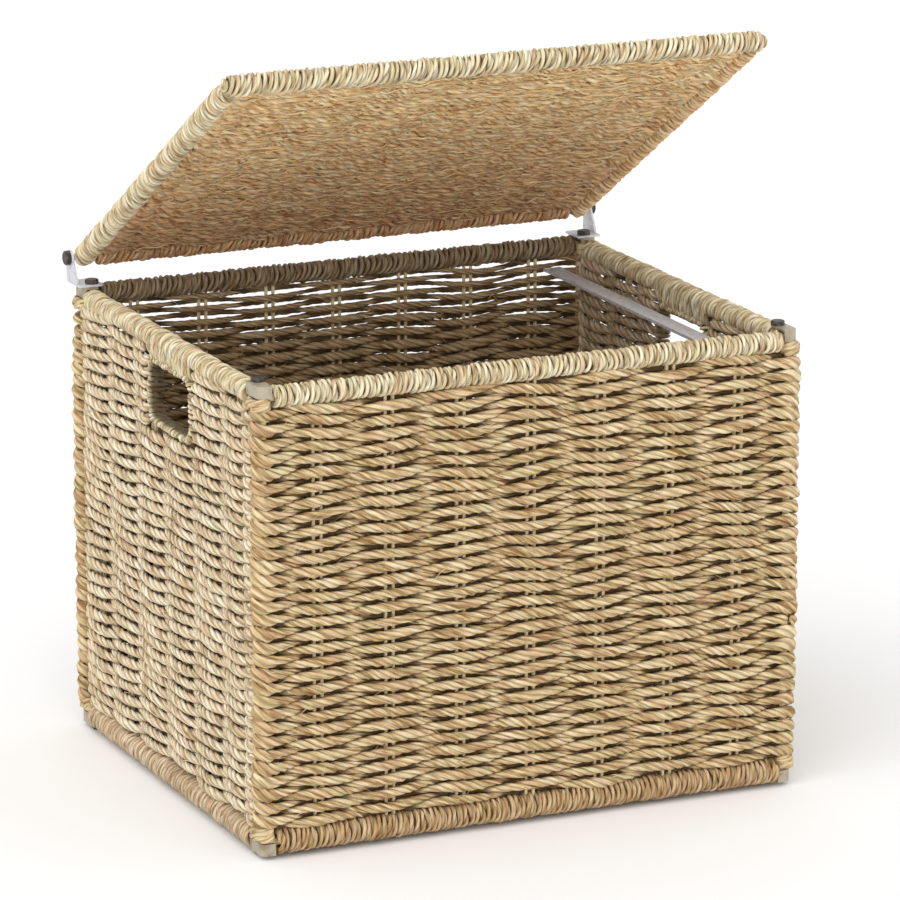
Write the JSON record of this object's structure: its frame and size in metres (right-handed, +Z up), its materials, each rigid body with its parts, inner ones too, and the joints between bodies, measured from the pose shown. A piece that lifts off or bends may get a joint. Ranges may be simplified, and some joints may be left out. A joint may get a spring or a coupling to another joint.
{
  "type": "woven file box",
  "caption": "Woven seagrass file box on wire frames, with a rear-hinged lid, hand holes in the sides and inner rails for hanging folders.",
  "frame": {"origin": "on the floor, under the middle of the box's footprint", "axes": "+Z up, -Y towards the front, +X to the right of someone who faces the front; the lid hinges at +Y"},
  "size_m": [0.394, 0.33, 0.499],
  "materials": {
    "seagrass_wall": "twisted seagrass rope, matte",
    "seagrass_wrap": "twisted seagrass strand wound round a rod, matte",
    "seagrass_field": "fine twisted seagrass rope, matte, browner",
    "frame_wire": "drawn wire, dull",
    "pale_sheet_steel": "pale grey sheet, satin",
    "dark_cap": "dark brown cap, satin"
  },
  "bodies": {
    "box": {"back_bottom_rim": "seagrass_wrap", "back_frame": "frame_wire", "back_left_bottom_clip": "pale_sheet_steel", "back_left_pin": "dark_cap", "back_left_pin_cap": "dark_cap", "back_left_top_clip": "pale_sheet_steel", "back_right_bottom_clip": "pale_sheet_steel", "back_right_pin": "dark_cap", "back_right_pin_cap": "dark_cap", "back_right_top_clip": "pale_sheet_steel", "back_top_rim": "seagrass_wrap", "back_weave": "seagrass_wall", "base_frame": "frame_wire", "base_weave": "seagrass_field", "front_bottom_rim": "seagrass_wrap", "front_frame": "frame_wire", "front_left_bottom_clip": "pale_sheet_steel", "front_left_pin": "dark_cap", "front_left_pin_cap": "dark_cap", "front_left_top_clip": "pale_sheet_steel", "front_right_bottom_clip": "pale_sheet_steel", "front_right_pin": "dark_cap", "front_right_pin_cap": "dark_cap", "front_right_top_clip": "pale_sheet_steel", "front_top_rim": "seagrass_wrap", "front_weave": "seagrass_wall", "left_bottom_rim": "seagrass_wrap", "left_file_rail": "pale_sheet_steel", "left_frame": "frame_wire", "left_handle_binding": "seagrass_wrap", "left_hinge_ear": "pale_sheet_steel", "left_top_rim": "seagrass_wrap", "left_weave": "seagrass_wall", "right_bottom_rim": "seagrass_wrap", "right_file_rail": "pale_sheet_steel", "right_frame": "frame_wire", "right_handle_binding": "seagrass_wrap", "right_hinge_ear": "pale_sheet_steel", "right_top_rim": "seagrass_wrap", "right_weave": "seagrass_wall"},
    "lid": {"lid_frame": "frame_wire", "lid_weave": "seagrass_field", "lid_front_rim": "seagrass_wrap", "lid_rear_rim": "seagrass_wrap", "lid_left_rim": "seagrass_wrap", "lid_right_rim": "seagrass_wrap", "hinge_rod": "frame_wire", "left_hinge_cap": "dark_cap", "right_hinge_cap": "dark_cap"}
  },
  "joints": [
    {"name": "lid_hinge", "type": "hinge", "parent": "box", "child": "lid", "pos_m": [0, 0.159, 0.328], "axis": [-1, 0, 0], "range_deg": [-32.6, 194]}
  ]
}
